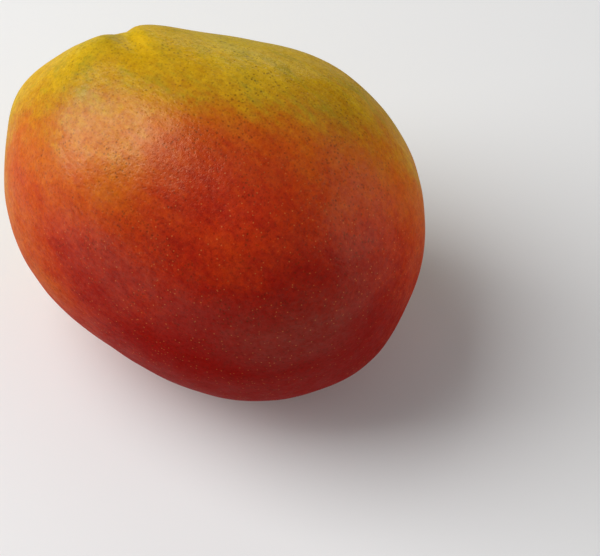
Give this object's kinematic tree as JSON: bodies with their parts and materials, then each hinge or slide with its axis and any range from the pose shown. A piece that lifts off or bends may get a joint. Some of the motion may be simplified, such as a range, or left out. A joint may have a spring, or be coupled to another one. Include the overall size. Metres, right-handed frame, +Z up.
{
  "type": "mango",
  "caption": "Whole ripe mango lying on its side: a full oval fruit with an oblique stem cavity, broad shoulders and a small beak.",
  "frame": {"origin": "middle of the small flat spot that the fruit rests on", "axes": "+X along the fruit towards the blossom end and its beak, +Y across it from cheek to cheek, +Z up; the stem end is towards -X"},
  "size_m": [0.1141, 0.0925, 0.097],
  "materials": {
    "skin": "satin"
  },
  "bodies": {
    "root": {"mango": "skin"}
  },
  "joints": []
}
